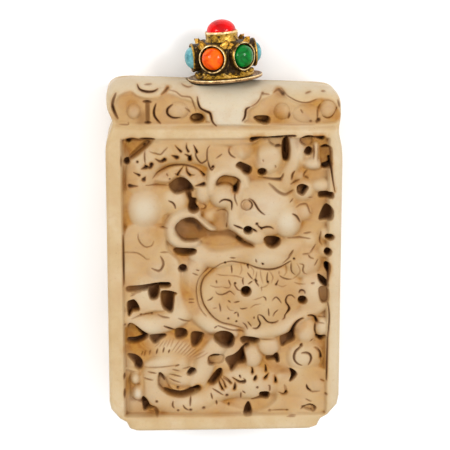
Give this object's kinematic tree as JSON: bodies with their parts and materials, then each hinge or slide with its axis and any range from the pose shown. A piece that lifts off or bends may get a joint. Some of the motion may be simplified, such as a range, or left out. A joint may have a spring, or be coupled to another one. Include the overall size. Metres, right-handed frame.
{
  "type": "carved soapstone pendant",
  "caption": "Flat soapstone plaque carved in deep relief with a dragon and clouds in a plain frame, under a gilt cap set with domed stones.",
  "frame": {"origin": "middle of the plaque's flat back, on which the pendant lies", "axes": "+Y along the pendant towards the cap, +X to the right of the carved face, +Z out of the carved face"},
  "size_m": [0.042, 0.0747, 0.0142],
  "materials": {
    "soapstone": "waxed and rubbed, with dark stain in the cuts",
    "gilt_metal": "gilt cast metal with dark patina",
    "red_cabochon": "polished opaque",
    "orange_cabochon": "polished opaque",
    "green_cabochon": "polished opaque",
    "turquoise_cabochon": "polished opaque"
  },
  "bodies": {
    "root": {"stone_plaque": "soapstone", "cap_flange": "gilt_metal", "cap_body": "gilt_metal", "cabochon_top_red": "red_cabochon", "cabochon_turquoise_1": "turquoise_cabochon", "cabochon_turquoise_2": "turquoise_cabochon", "cabochon_orange_1": "orange_cabochon", "cabochon_orange_2": "orange_cabochon", "cabochon_green_1": "green_cabochon", "cabochon_green_2": "green_cabochon"}
  },
  "joints": []
}
